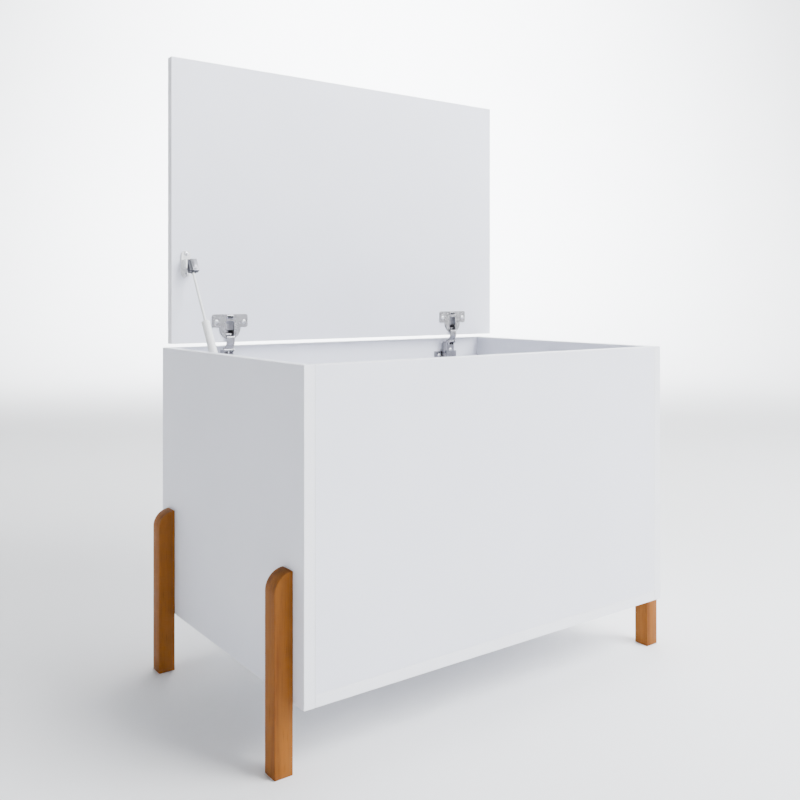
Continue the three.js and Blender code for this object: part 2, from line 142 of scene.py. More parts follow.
class LegSettings(bpy.types.PropertyGroup):
    edge_round: FloatProperty(
        name="Edge rounding", description="Radius sanded on the legs' edges",
        default=0.0011, unit="LENGTH")
    dark: FloatVectorProperty(
        name="Dark grain", description="Colour of the late wood",
        default=(0.115, 0.031, 0.003), subtype="COLOR", size=3)
    light: FloatVectorProperty(
        name="Light grain", description="Colour of the early wood",
        default=(0.25, 0.084, 0.009), subtype="COLOR", size=3)


class FittingSettings(bpy.types.PropertyGroup):
    screw_head: FloatProperty(
        name="Screw head", description="Radius of the wood screws' heads",
        default=0.0036, unit="LENGTH")
    bolt_head: FloatProperty(
        name="Bolt head", description="Radius of the leg bolts' heads",
        default=0.0060, unit="LENGTH")
    rivet_head: FloatProperty(
        name="Rivet head", description="Radius of the rivets on the hinge pins",
        default=0.0021, unit="LENGTH")
    segments: IntProperty(
        name="Round steps", description="Steps round a turned piece", default=64, min=16)
    nickel: FloatVectorProperty(
        name="Nickel", description="Colour of the plated hinge steel",
        default=(0.385, 0.38, 0.39), subtype="COLOR", size=3)
    enamel: FloatVectorProperty(
        name="Enamel", description="Colour of the lid stay's paint",
        default=(0.83, 0.83, 0.82), subtype="COLOR", size=3)


class StageSettings(bpy.types.PropertyGroup):
    eye: FloatVectorProperty(
        name="Camera place", description="Where the camera stands",
        default=(-0.8503, -1.1269, 0.5741), subtype="TRANSLATION", size=3)
    turn: FloatProperty(
        name="Camera turn", description="Turn to the right of the depth direction",
        default=math.radians(36.13), subtype="ANGLE")
    lens: FloatProperty(name="Lens", description="Focal length in millimetres", default=39.74)
    shift: FloatProperty(name="Shift", description="Vertical shift of the picture", default=-0.1298)
    key: FloatProperty(name="Key light", description="Power of the main soft light", default=300.0)
    top: FloatProperty(name="Top light", description="Power of the wide light overhead", default=150.0)
    wash: FloatProperty(
        name="Wall wash", description="Power of the brightest wall light", default=1250.0)
    sky: FloatProperty(name="Sky", description="Strength of the even room light", default=0.27)
    slant: FloatProperty(
        name="Sky slant", description="How much the sky gains to the right and loses to the left",
        default=0.24)


# ---------------------------------------------------------------- shader maths

class Value:
    """A socket that adds Math nodes when it is used in an expression."""

    def __init__(self, tree, socket):
        self.tree, self.socket = tree, socket

    def _maths(self, operation, first, second=None):
        node = self.tree.nodes.new("ShaderNodeMath")
        node.operation = operation
        for slot, item in zip(node.inputs, (first, second)):
            if isinstance(item, Value):
                self.tree.links.new(item.socket, slot)
            elif item is not None:
                slot.default_value = item
        return Value(self.tree, node.outputs[0])

    def __add__(self, other):
        return self._maths("ADD", self, other)

    def __radd__(self, other):
        return self._maths("ADD", other, self)

    def __sub__(self, other):
        return self._maths("SUBTRACT", self, other)

    def __rsub__(self, other):
        return self._maths("SUBTRACT", other, self)

    def __mul__(self, other):
        return self._maths("MULTIPLY", self, other)

    def __rmul__(self, other):
        return self._maths("MULTIPLY", other, self)

    def __gt__(self, other):
        return self._maths("GREATER_THAN", self, other)


class Finish:
    """A material under construction, with one method that adds any other node."""

    def __init__(self, name, **shader):
        self.material = bpy.data.materials.new(name)
        self.material.use_nodes = True
        self.tree = self.material.node_tree
        self.shader = self.tree.nodes["Principled BSDF"]
        for socket, value in shader.items():
            self.shader.inputs[socket.replace("_", " ")].default_value = value
        self.place = self.node("ShaderNodeTexCoord").outputs["Object"]

    def node(self, kind, settings=None, **sockets):
        """Adds a node. A socket is named with _ for a space, or by its number after a _."""
        made = self.tree.nodes.new(kind)
        for name, value in (settings or {}).items():
            if name == "stops":
                self._stops(made.color_ramp, value)
            else:
                setattr(made, name, value)
        for name, value in sockets.items():
            slot = made.inputs[int(name[1:]) if name[1:].isdigit() else name.replace("_", " ")]
            value = value.socket if isinstance(value, Value) else value
            if isinstance(value, bpy.types.NodeSocket):
                self.tree.links.new(value, slot)
            else:
                slot.default_value = value
        return made

    def _stops(self, ramp, stops):
        while len(ramp.elements) < len(stops):
            ramp.elements.new(1.0)
        for element, (position, shade) in zip(ramp.elements, stops):
            element.position = position
            channels = shade if isinstance(shade, (tuple, list)) else (shade,) * 3
            element.color = (*channels, 1.0)

    def noise(self, scale, detail=3.0, stretch=(1, 1, 1), shift=(0, 0, 0)):
        mapped = self.node("ShaderNodeMapping", Vector=self.place, Scale=stretch, Location=shift)
        made = self.node("ShaderNodeTexNoise", Vector=mapped.outputs[0], Scale=scale, Detail=detail)
        return Value(self.tree, made.outputs["Fac"])

    def ramp(self, value, stops):
        return self.node("ShaderNodeValToRGB", {"stops": stops}, Fac=value).outputs["Color"]

    def mix(self, factor, first, second):
        made = self.node("ShaderNodeMix", {"data_type": "RGBA"}, Factor=factor, _6=first, _7=second)
        return made.outputs[2]

    def feed(self, socket, value):
        value = value.socket if isinstance(value, Value) else value
        self.tree.links.new(value, self.shader.inputs[socket])

    def bump(self, height, strength, distance):
        made = self.node("ShaderNodeBump", Strength=strength, Distance=distance, Height=height)
        self.feed("Normal", made.outputs[0])


def opaque(colour):
    return (*colour, 1.0)


def scaled(colour, by):
    return tuple(min(1.0, channel * by) for channel in colour)


def board_white(name, colour, roughness):
    """Melamine: a faint cloudiness, a fine pearl grain in the surface and slightly uneven gloss."""
    look = Finish(name, Specular_IOR_Level=0.45)
    cloud = look.noise(7.0, 2.0)
    grain = look.noise(1400.0, 2.0)
    tint = look.ramp(cloud, [(0.3, scaled(colour, 0.975)), (0.7, scaled(colour, 1.012))])
    speck = look.mix(grain * 0.06, tint, opaque(scaled(colour, 0.86)))
    look.feed("Base Color", speck)
    look.feed("Roughness", roughness + 0.10 * (cloud - 0.5) + 0.08 * (grain - 0.5))
    look.bump(grain + 0.4 * look.noise(260.0, 3.0), 0.10, 0.00006)
    return look.material


def leg_wood(dark, light):
    """Straight grain along the leg, with growth lines, broad tone changes and fine open pores."""
    look = Finish("leg_wood", Specular_IOR_Level=0.16)
    drift = look.noise(3.0, 2.0, stretch=(1.6, 1.6, 0.6))
    streaks = look.noise(150.0, 5.0, stretch=(1.0, 1.0, 0.035))
    growth = look.noise(48.0, 3.0, stretch=(1.0, 1.0, 0.028), shift=(0.13, 0.4, 0.0))
    pores = look.noise(1000.0, 2.0, stretch=(1.0, 1.0, 0.03))
    tone = 0.46 * streaks + 0.42 * growth + 0.22 * drift
    colour = look.ramp(tone, [(0.36, dark), (0.52, scaled(light, 0.80)), (0.68, light)])
    pore_mask = Value(look.tree, look.ramp(pores, [(0.30, 1.0), (0.42, 0.0)]))
    look.feed("Base Color", look.mix(pore_mask * 0.45, colour, opaque(scaled(dark, 0.55))))
    look.feed("Roughness", 0.52 + 0.16 * streaks + 0.1 * pore_mask)
    look.bump(0.5 * streaks - 0.6 * pore_mask, 0.22, 0.00025)
    return look.material


def plated(name, colour, roughness):
    """Bright plating on pressed steel: soft brushing, faint waviness and small dull spots."""
    look = Finish(name, Metallic=1.0)
    wave = look.noise(60.0, 2.0)
    brush = look.noise(900.0, 3.0, stretch=(1.0, 1.0, 0.08))
    dull = Value(look.tree, look.ramp(look.noise(220.0, 4.0), [(0.55, 0.0), (0.75, 1.0)]))
    look.feed("Base Color", look.mix(dull * 0.35, opaque(colour), opaque(scaled(colour, 0.72))))
    look.feed("Roughness", roughness + 0.12 * (brush - 0.5) + 0.12 * dull)
    look.bump(brush * 0.3 + wave, 0.15, 0.00008)
    return look.material


def cup_with_painted_reflection(colour):
    """Plated like the rest, with a pale painted reflection in the cup's deep upper part, standing in for
    bright metal catching the light.
    """
    look = Finish("hinge_cup_painted_reflection")
    lid_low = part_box("lid")[0]
    axes = look.node("ShaderNodeSeparateXYZ", Vector=look.place).outputs
    deep = Value(look.tree, axes["Y"]) > lid_low.y + PAINTED_REFLECTION_DEPTH
    high = Value(look.tree, axes["Z"]) > lid_low.z + PAINTED_REFLECTION_SILL
    # Painted reflection: this pale, non-metal patch in the deep upper part stands in for the bright metal of
    # the cup catching the light.
    painted_reflection = deep * high
    wave = look.noise(300.0, 3.0)
    metal = look.mix(wave * 0.2, opaque(colour), opaque(scaled(colour, 0.75)))
    look.feed("Base Color", look.mix(painted_reflection, metal, opaque((0.80, 0.80, 0.84))))
    look.feed("Metallic", 1.0 - painted_reflection)
    look.feed("Roughness", 0.24 + 0.08 * wave + 0.25 * painted_reflection)
    look.bump(wave, 0.12, 0.00008)
    return look.material


def enamel(colour):
    """Sprayed enamel with a light orange peel."""
    look = Finish("stay_enamel", Coat_Roughness=0.12, Coat_IOR=1.5)
    peel = look.noise(500.0, 2.0)
    look.feed("Base Color", look.ramp(look.noise(40.0, 2.0),
                                      [(0.3, scaled(colour, 0.96)), (0.7, colour)]))
    look.feed("Roughness", 0.28 + 0.10 * (peel - 0.5))
    look.bump(peel, 0.12, 0.00006)
    return look.material


def moulded(name, colour, roughness=0.5):
    """Fine-sparked moulded plastic."""
    look = Finish(name, Specular_IOR_Level=0.45)
    spark = look.noise(1500.0, 3.0)
    look.feed("Base Color", look.mix(spark * 0.25, opaque(colour), opaque(scaled(colour, 1.6))))
    look.feed("Roughness", roughness + 0.16 * (spark - 0.5))
    look.bump(spark, 0.2, 0.00005)
    return look.material


def floor_paper():
    """Matt pale paper with a faint unevenness."""
    look = Finish("floor_paper", Specular_IOR_Level=0.1)
    look.feed("Base Color", look.ramp(look.noise(2.0, 2.0), [(0.3, 0.90), (0.7, 0.915)]))
    look.feed("Roughness", 0.9 + 0.05 * (look.noise(80.0) - 0.5))
    return look.material


FINISHES = {}


def finish(name):
    """The named finish, made the first time it is asked for."""
    boards = bpy.context.scene.bench_boards
    legs = bpy.context.scene.bench_legs
    metal = bpy.context.scene.bench_fittings
    makers = {
        "board": lambda: board_white("board_white", tuple(boards.white), 0.42),
        "band": lambda: board_white("edge_band", tuple(boards.band_white), 0.36),
        "wood": lambda: leg_wood(tuple(legs.dark), tuple(legs.light)),
        "nickel": lambda: plated("hinge_nickel", tuple(metal.nickel), 0.24),
        "spring": lambda: plated("clip_spring_steel", (0.25, 0.25, 0.27), 0.4),
        "zinc": lambda: plated("screw_zinc", (0.78, 0.78, 0.80), 0.3),
        "enamel": lambda: enamel(tuple(metal.enamel)),
        "socket": lambda: moulded("socket_plastic", (0.075, 0.077, 0.09)),
        "dark": lambda: moulded("slot_dark", (0.018, 0.018, 0.022), 0.6),
        "cup": lambda: cup_with_painted_reflection(tuple(metal.nickel)),
        "floor": floor_paper,
    }
    if name not in FINISHES:
        FINISHES[name] = makers[name]()
    return FINISHES[name]


# ---------------------------------------------------------------- mesh helpers

def place(name, mesh, body, slot, *finishes, replaces=()):
    """Adds a mesh as a finished piece: on its body, with its finishes. The slot argument is not used."""
    piece = bpy.data.objects.new(name, mesh)
    bpy.context.scene.collection.objects.link(piece)
    for look in finishes:
        mesh.materials.append(finish(look))
    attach(piece, body)
    if replaces:
        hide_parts(*replaces)
    return piece


def coat(node, look):
    """Gives a CAD node that stays a finish, through its object's material slots."""
    if not node.material_slots:
        raise RuntimeError(f"{node.name} has no material slot to take a finish")
    for slot in node.material_slots:
        slot.material = finish(look)


def to_mesh(bm, name, smooth=None):
    """Turns a bmesh into a mesh. Edges sharper than `smooth` stay crisp."""
    bmesh.ops.remove_doubles(bm, verts=bm.verts, dist=1e-6)
    bmesh.ops.recalc_face_normals(bm, faces=bm.faces)
    if smooth is not None:
        for face in bm.faces:
            face.smooth = True
        for edge in bm.edges:
            edge.smooth = len(edge.link_faces) == 2 and edge.calc_face_angle(0.0) < smooth
    mesh = bpy.data.meshes.new(name)
    bm.to_mesh(mesh)
    bm.free()
    return mesh


def round_edges(bm, radius, steps, sharper=math.radians(30)):
    """Rounds every edge that turns by more than `sharper`."""
    edges = [e for e in bm.edges if len(e.link_faces) == 2 and e.calc_face_angle(0.0) > sharper]
    bmesh.ops.bevel(bm, geom=edges, offset=radius, segments=steps, profile=0.5, affect="EDGES")


def rounded_box(low, high, edge, steps=2):
    """A block between two corners, its edges rounded."""
    bm = bmesh.new()
    low, high = Vector(low), Vector(high)
    for vert in bmesh.ops.create_cube(bm, size=1.0)["verts"]:
        vert.co = Vector(low[i] + (vert.co[i] + 0.5) * (high[i] - low[i]) for i in range(3))
    round_edges(bm, edge, steps)
    return bm


def prism(outline, thick, edge, steps=2):
    """A closed slab: `outline` in x and y, from z = 0 to z = thick, its edges rounded."""
    bm = bmesh.new()
    face = bm.faces.new([bm.verts.new((x, y, 0.0)) for x, y in outline])
    top = bmesh.ops.extrude_face_region(bm, geom=[face])["geom"]
    for item in top:
        if isinstance(item, bmesh.types.BMVert):
            item.co.z = thick
    bmesh.ops.recalc_face_normals(bm, faces=bm.faces)
    round_edges(bm, edge, steps, math.radians(50))
    return bm


def lathe(profile, steps):
    """A closed turned body about Z, from [radius, height] points that start and end on the axis."""
    bm = bmesh.new()
    rings = []
    for radius, height in profile:
        if radius == 0:
            rings.append([bm.verts.new((0, 0, height))])
            continue
        turn = [2 * math.pi * i / steps for i in range(steps)]
        rings.append([bm.verts.new((radius * math.cos(a), radius * math.sin(a), height)) for a in turn])
    for lower, upper in zip(rings, rings[1:]):
        for i in range(steps):
            j = (i + 1) % steps
            corners = [lower[i % len(lower)], lower[j % len(lower)],
                       upper[j % len(upper)], upper[i % len(upper)]]
            bm.faces.new(list(dict.fromkeys(corners)))
    return bm


def rounded_profile(points, radius, steps=4):
    """Rounds a lathe profile's corners, all but its two ends."""
    smooth = [points[0]]
    for before, corner, after in zip(points, points[1:], points[2:]):
        here = Vector(corner)
        into, out = Vector(before) - here, Vector(after) - here
        reach = min(radius, into.length * 0.45, out.length * 0.45)
        start, end = here + into.normalized() * reach, here + out.normalized() * reach
        for i in range(steps + 1):
            t = i / steps
            smooth.append(tuple((1 - t) ** 2 * start + 2 * t * (1 - t) * here + t * t * end))
    return smooth + [points[-1]]


def rounded_rectangle(width, height, radius, steps=6):
    """Points round a rectangle with round corners, about the origin."""
    points = []
    for quarter, (sx, sy) in enumerate(((1, 1), (-1, 1), (-1, -1), (1, -1))):
        centre = Vector((sx * (width / 2 - radius), sy * (height / 2 - radius)))
        for i in range(steps + 1):
            angle = math.pi / 2 * (quarter + i / steps)
            points.append((centre.x + radius * math.cos(angle), centre.y + radius * math.sin(angle)))
    return points


def merge(*parts):
    """Joins (bmesh, matrix) pairs into one bmesh, and frees them."""
    whole = bmesh.new()
    for part, matrix in parts:
        part.transform(matrix)
        scratch = bpy.data.meshes.new("scratch")
        part.to_mesh(scratch)
        part.free()
        whole.from_mesh(scratch)
        bpy.data.meshes.remove(scratch)
    return whole


def carve(mesh, cutter, name):
    """Cuts one closed mesh out of another with an applied Boolean modifier."""
    pair = [bpy.data.objects.new(name + part, data) for part, data in (("_body", mesh), ("_tool", cutter))]
    for item in pair:
        bpy.context.scene.collection.objects.link(item)
    modifier = pair[0].modifiers.new("carve", "BOOLEAN")
    modifier.operation = "DIFFERENCE"
    modifier.solver = "EXACT"
    modifier.object = pair[1]
    graph = bpy.context.evaluated_depsgraph_get()
    result = bpy.data.meshes.new_from_object(pair[0].evaluated_get(graph))
    result.name = name
    for item in pair:
        bpy.data.objects.remove(item)
    return result


def facing(direction, at):
    """A matrix that takes +Z to `direction` and the origin to `at`."""
    return Matrix.Translation(at) @ Vector(direction).to_track_quat("Z", "Y").to_matrix().to_4x4()


def middle(node):
    low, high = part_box(node)
    return (low + high) / 2


def starting(*beginnings):
    """The names of the frame's nodes that start in one of these ways, in order."""
    return sorted(name for name in frame["nodes"] if name.startswith(beginnings))


def plate(outline, thick, edge):
    """A thin plate with round corners: `outline` is its width, height and corner radius."""
    return prism(rounded_rectangle(*outline), thick, edge)


# ---------------------------------------------------------------- heads: screws, bolts, rivets

def recess_cross(x, y):
    """Depth of a cross recess, as a share of the head's height."""
    arm, width, depth = 0.55, 0.13, 0.75
    inside = (abs(x) < arm and abs(y) < width) or (abs(y) < arm and abs(x) < width)
    return depth if inside else 0.0


def recess_hexagon(x, y):
    """Depth of a hexagon socket, as a share of the head's height."""
    across, depth = 0.5, 0.8
    inside = all(abs(x * math.cos(a) + y * math.sin(a)) < across for a in (0, math.pi / 3, 2 * math.pi / 3))
    return depth if inside else 0.0


def no_recess(x, y):
    """A plain head."""
    return 0.0


def head_mesh(name, recess, dome, height, rings=14, steps=48):
    """A round head of radius 1 with a domed top and a driver recess, standing on z = 0."""
    def top(x, y, r):
        return height * (1 - dome * r ** 4) * (1 - recess(x, y))

    bm = bmesh.new()
    centre = bm.verts.new((0, 0, top(0, 0, 0)))
    loops = []
    for ring in range(1, rings + 1):
        r = ring / rings
        loop = []
        for i in range(steps):
            x, y = r * math.cos(2 * math.pi * i / steps), r * math.sin(2 * math.pi * i / steps)
            loop.append(bm.verts.new((x, y, top(x, y, r))))
        loops.append(loop)
    loops.append([bm.verts.new((v.co.x, v.co.y, 0)) for v in loops[-1]])
    base = bm.verts.new((0, 0, 0))
    for i in range(steps):
        j = (i + 1) % steps
        bm.faces.new((centre, loops[0][i], loops[0][j]))
        bm.faces.new((base, loops[-1][j], loops[-1][i]))
        for inner, outer in zip(loops, loops[1:]):
            bm.faces.new((inner[i], outer[i], outer[j], inner[j]))
    return to_mesh(bm, name, CREASE)


def heads_tree():
    """Geometry Nodes: one head on each point, turned to the point's normal and scaled to its size."""
    tree = bpy.data.node_groups.new("heads_on_points", "GeometryNodeTree")
    for name, kind in (("Geometry", "NodeSocketGeometry"), ("Head", "NodeSocketObject"),
                       ("Radius", "NodeSocketFloat"), ("Finish", "NodeSocketMaterial")):
        tree.interface.new_socket(name, in_out="INPUT", socket_type=kind)
    tree.interface.new_socket("Geometry", in_out="OUTPUT", socket_type="NodeSocketGeometry")
    add = tree.nodes.new
    source, out = add("NodeGroupInput"), add("NodeGroupOutput")
    info, instance = add("GeometryNodeObjectInfo"), add("GeometryNodeInstanceOnPoints")
    turn = add("GeometryNodeInputNamedAttribute")
    turn.data_type = "FLOAT_VECTOR"
    turn.inputs["Name"].default_value = "facing"
    align = add("FunctionNodeAlignRotationToVector")
    align.axis = "Z"
    realize, paint = add("GeometryNodeRealizeInstances"), add("GeometryNodeSetMaterial")
    link = tree.links.new
    link(source.outputs["Geometry"], instance.inputs["Points"])
    link(source.outputs["Head"], info.inputs["Object"])
    link(info.outputs["Geometry"], instance.inputs["Instance"])
    link(turn.outputs["Attribute"], align.inputs["Vector"])
    link(align.outputs["Rotation"], instance.inputs["Rotation"])
    link(source.outputs["Radius"], instance.inputs["Scale"])
    link(instance.outputs["Instances"], realize.inputs["Geometry"])
    link(realize.outputs["Geometry"], paint.inputs["Geometry"])
    link(source.outputs["Finish"], paint.inputs["Material"])
    link(paint.outputs["Geometry"], out.inputs["Geometry"])
    return tree


def scatter_heads(name, spots, head, radius, look):
    """A plain mesh with a copy of `head` at each (point, facing) spot."""
    points = bpy.data.meshes.new(name + "_points")
    points.from_pydata([spot[0] for spot in spots], [], [])
    attribute = points.attributes.new("facing", "FLOAT_VECTOR", "POINT")
    for item, spot in zip(attribute.data, spots):
        item.vector = spot[1]
    holder = bpy.data.objects.new(name + "_holder", points)
    master = bpy.data.objects.new(name + "_master", head)
    for item in (holder, master):
        bpy.context.scene.collection.objects.link(item)
    modifier = holder.modifiers.new("heads", "NODES")
    tree = bpy.data.node_groups.get("heads_on_points") or heads_tree()
    modifier.node_group = tree
    values = {"Head": master, "Radius": radius, "Finish": finish(look)}
    for item in tree.interface.items_tree:
        if item.in_out == "INPUT" and item.name in values:
            modifier[item.identifier] = values[item.name]
    graph = bpy.context.evaluated_depsgraph_get()
    mesh = bpy.data.meshes.new_from_object(holder.evaluated_get(graph))
    mesh.name = name
    mesh.materials.clear()
    holder.modifiers.remove(modifier)
    bpy.data.objects.remove(holder)
    bpy.data.objects.remove(master)
    return mesh


def head_seat(node, direction, height):
    """Where a head stands: on the node's end that `direction` leaves by, `height` below its tip."""
    low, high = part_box(node)
    seat = (low + high) / 2
    axis = max(range(3), key=lambda i: abs(direction[i]))
    seat[axis] = (high if direction[axis] > 0 else low)[axis] - direction[axis] * height
    return seat, Vector(direction)


# ---------------------------------------------------------------- operators

class BENCH_OT_boards(bpy.types.Operator):
    """Make the six banded boards: box and lid"""
    bl_idname = "bench.boards"
    bl_label = "Boards"

    def board(self, node):
        """A board with rounded edges, and its band as a separate strip of faces all round."""
        sizes = bpy.context.scene.bench_boards
        low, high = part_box(node)
        thin = min(range(3), key=lambda i: (high - low)[i])
        bm = rounded_box(low, high, sizes.edge_round, 3)
        broad = [f for f in bm.faces if abs(f.normal[thin]) > FLAT and f.calc_area() > BROAD_AREA]
        bmesh.ops.inset_individual(bm, faces=broad, thickness=sizes.band - sizes.edge_round * BAND_LAP)
        for face in bm.faces:
            face.material_index = 0 if face in broad else 1
        return to_mesh(bm, node + "_board")

    def execute(self, context):
        for node in ("side_panel_left", "side_panel_right", "bottom_panel", "front_panel", "back_panel"):
            place(node + "_board", self.board(node), "box", "white_board", "board", "band", replaces=[node])
        lid = self.board("lid")
        cups = []
        for side in SIDES:
            low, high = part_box(f"hinge_cup_{side}")
            profile = [(0, 0), (CUP_BORE, 0), (CUP_BORE, CUP_BORE_DEPTH), (0, CUP_BORE_DEPTH)]
            centre = Vector(((low.x + high.x) / 2, high.y, low.z + CUP_RIM))
            bowl = lathe(profile, context.scene.bench_fittings.segments)
            cups.append((bowl, facing(FORWARD, centre)))
        lid = carve(lid, to_mesh(merge(*cups), "cup_holes"), "lid_board")
        place("lid_board", lid, "lid", "white_board", "board", "band", replaces=["lid"])
        return {"FINISHED"}


class BENCH_OT_legs(bpy.types.Operator):
    """Make the four wooden legs with their quarter-round tops"""
    bl_idname = "bench.legs"
    bl_label = "Legs"
    top_steps = 24

    def execute(self, context):
        sizes = context.scene.bench_legs
        for node in starting("leg_front", "leg_back"):
            low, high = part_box(node)
            outward = 1 if middle(node).x > 0 else -1
            wide, tall = high.x - low.x, high.z - low.z
            outline = [(0, 0), (wide, 0)]
            for i in range(self.top_steps + 1):
                angle = math.pi / 2 * i / self.top_steps
                outline.append((wide * math.cos(angle), tall - wide + wide * math.sin(angle)))
            bm = prism(outline, high.y - low.y, sizes.edge_round, 3)
            inner = low.x if outward > 0 else high.x
            for vert in bm.verts:
                x, z, y = vert.co
                vert.co = Vector((inner + outward * x, low.y + y, low.z + z))
            mesh = to_mesh(bm, node + "_post", CREASE)
            place(node + "_post", mesh, "box", "leg_wood", "wood", replaces=[node])
        return {"FINISHED"}


class BENCH_OT_screws(bpy.types.Operator):
    """Make the screw heads, bolt heads and rivets"""
    bl_idname = "bench.screws"
    bl_label = "Screws"

    def execute(self, context):
        sizes = context.scene.bench_fittings
        screw = head_mesh("screw_head", recess_cross, **SCREW_HEAD)
        bolt = head_mesh("bolt_head", recess_hexagon, **BOLT_HEAD)
        rivet = head_mesh("rivet_head", no_recess, **RIVET_HEAD)
        groups = {
            "plate_screw_heads": ("box", FORWARD, starting("plate_screw")),
            "adjusting_screw_heads": ("box", FORWARD, starting("hinge_clamp_screw", "hinge_depth_screw")),
            "box_bracket_screw_heads": ("box", RIGHTWARD, starting("box_bracket_screw")),
            "cup_screw_heads": ("lid", FORWARD, starting("cup_screw")),
            "lid_bracket_screw_heads": ("lid", FORWARD, starting("lid_bracket_screw")),
        }
        for name, (body, direction, members) in groups.items():
            spots = [head_seat(n, direction, SCREW_HEAD["height"] * sizes.screw_head) for n in members]
            mesh = scatter_heads(name, spots, screw, sizes.screw_head, "zinc")
            place(name, mesh, body, "screw_steel", "zinc", replaces=members)
        bolts = starting("leg_bolt")
        rise = BOLT_HEAD["height"] * sizes.bolt_head
        spots = [head_seat(n, (-1 if middle(n).x > 0 else 1, 0, 0), rise) for n in bolts]
        mesh = scatter_heads("leg_bolt_heads", spots, bolt, sizes.bolt_head, "zinc")
        place("leg_bolt_heads", mesh, "box", "screw_steel", "zinc", replaces=bolts)
        spots = [head_seat(n, (way, 0, 0), 0.0) for n in starting("hinge_arm_pin") for way in (-1, 1)]
        mesh = scatter_heads("hinge_rivet_heads", spots, rivet, sizes.rivet_head, "nickel")
        place("hinge_rivet_heads", mesh, "box", "screw_steel", "nickel")
        return {"FINISHED"}


class BENCH_OT_hinges(bpy.types.Operator):
    """Finish the hinges: plating on the CAD parts, and the two small plates on each cup"""
    bl_idname = "bench.hinges"
    bl_label = "Hinges"

    def look_of(self, name):
        if "_pin_" in name:
            return "zinc"
        return "cup" if "_cup_" in name else "nickel"

    def cup_plate(self, side, name, slot, look, shape):
        """One of the small plates near the top of a cup's face."""
        low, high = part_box(f"hinge_cup_{side}")
        centre = Vector(((low.x + high.x) / 2, low.y - shape["proud"], high.z - PLATE_DROP))
        slab = plate(shape["outline"], shape["thick"], shape["edge"])
        mesh = to_mesh(merge((slab, facing(FORWARD, centre))), name, CREASE)
        place(f"{name}_{side}", mesh, "lid", slot, look)

    def execute(self, context):
        for name, node in frame["nodes"].items():
            if name.startswith("hinge_") and not node.hide_render:
                coat(node, self.look_of(name))
        for side in SIDES:
            self.cup_plate(side, "cup_cover", "hinge_nickel", "nickel", COVER)
            self.cup_plate(side, "cup_switch", "socket_plastic", "dark", SWITCH)
        return {"FINISHED"}


class BENCH_OT_stay(bpy.types.Operator):
    """Make the lid stay: rods, tube, sockets, spring clip and brackets"""
    bl_idname = "bench.stay"
    bl_label = "Lid stay"

    def execute(self, context):
        self.steps = context.scene.bench_fittings.segments
        self.top = Vector(JOINTS["stay_swing"]["pos_m"])
        self.top.x = middle("stay_tube").x
        self.up = Vector(JOINTS["stay_tube_slide"]["axis"]).normalized()
        for node, body in (("stay_rod_upper", "stay_top"), ("stay_rod_lower", "stay_foot")):
            low, high = self.span(node)
            profile = [(0, low), (ROD_RADIUS, low), (ROD_RADIUS, high), (0, high)]
            self.turned(node + "_bar", profile, body, [node])
        self.tube()
        self.socket("stay_socket_upper", "stay_top", -1)
        self.socket("stay_socket_lower", "stay_foot", 1)
        self.clip()
        for name in starting("stay_bracket"):
            coat(frame["nodes"][name], "enamel")
        return {"FINISHED"}

    def span(self, node):
        """The node's lowest and highest place along the stay."""
        heights = [(vert.co - self.top).dot(self.up) for vert in frame["nodes"][node].data.vertices]
        return min(heights), max(heights)

    def turned(self, name, profile, body, replaces):
        """An enamelled piece turned about the stay's line."""
        bm = lathe(profile, self.steps)
        bm.transform(facing(self.up, self.top))
        mesh = to_mesh(bm, name, math.radians(30))
        place(name, mesh, body, "stay_enamel", "enamel", replaces=replaces)

    def tube(self):
        """The tube, both ends alike: a bored mouth, a chamfered lip and a shallow groove."""
        low, high = self.span("stay_tube")
        bore = ROD_RADIUS + ROD_GAP
        end = [(0, TUBE_MOUTH), (bore, TUBE_MOUTH), (bore, 0), (TUBE_RADIUS - TUBE_LIP, 0),
               (TUBE_RADIUS, TUBE_LIP)]
        end += [(TUBE_RADIUS - depth, distance) for distance, depth in TUBE_GROOVE]
        profile = [(radius, low + distance) for radius, distance in end]
        profile += [(radius, high - distance) for radius, distance in reversed(end)]
        self.turned("stay_tube_body", profile, "stay_tube", ["stay_tube"])

    def seat(self, height):
        """A frame on the stay's line: X across, Y to the back, Z up the stay."""
        across = Vector((1, 0, 0))
        axes = Matrix((across, self.up.cross(across), self.up)).transposed().to_4x4()
        return Matrix.Translation(self.top + self.up * height) @ axes

    def socket(self, node, body, way):
        """A moulded ball socket block with softened corners, ribs and a collar where the rod goes in."""
        low, high = self.span(node)
        ball = high - BALL_BELOW_END if way < 0 else low + BALL_BELOW_END
        seat = self.seat(ball) @ (Matrix.Identity(4) if way < 0 else Matrix.Rotation(math.pi, 4, "X"))
        pieces = [rounded_box(**SOCKET, steps=3), lathe(rounded_profile(COLLAR, COLLAR_EDGE), COLLAR_STEPS)]
        for height in RIB_HEIGHTS:
            (x0, y0, z0), (x1, y1, z1) = RIB["low"], RIB["high"]
            pieces.append(rounded_box(mm(x0, y0, height + z0), mm(x1, y1, height + z1), RIB["edge"]))
        mesh = to_mesh(merge(*((piece, seat) for piece in pieces)), node + "_block", CREASE)
        place(node + "_block", mesh, body, "socket_plastic", "socket", replaces=[node])

    def clip(self):
        """The bright spring clip over the upper socket: front, cheek, a pressed oval and a tongue."""
        seat = self.seat(0.0)
        flat = Matrix.Rotation(math.pi / 2, 4, "X")
        pieces = [(rounded_box(**CLIP_FRONT), seat), (rounded_box(**CLIP_CHEEK), seat)]
        for shape, spot in ((CLIP_OVAL, OVAL_PLACE), (CLIP_TONGUE, TONGUE_PLACE)):
            pieces.append((plate(**shape), seat @ Matrix.Translation(spot) @ flat))
        mesh = to_mesh(merge(*pieces), "stay_clip_spring", CREASE)
        place("stay_clip_spring", mesh, "stay_top", "hinge_nickel", "spring", replaces=["stay_clip"])


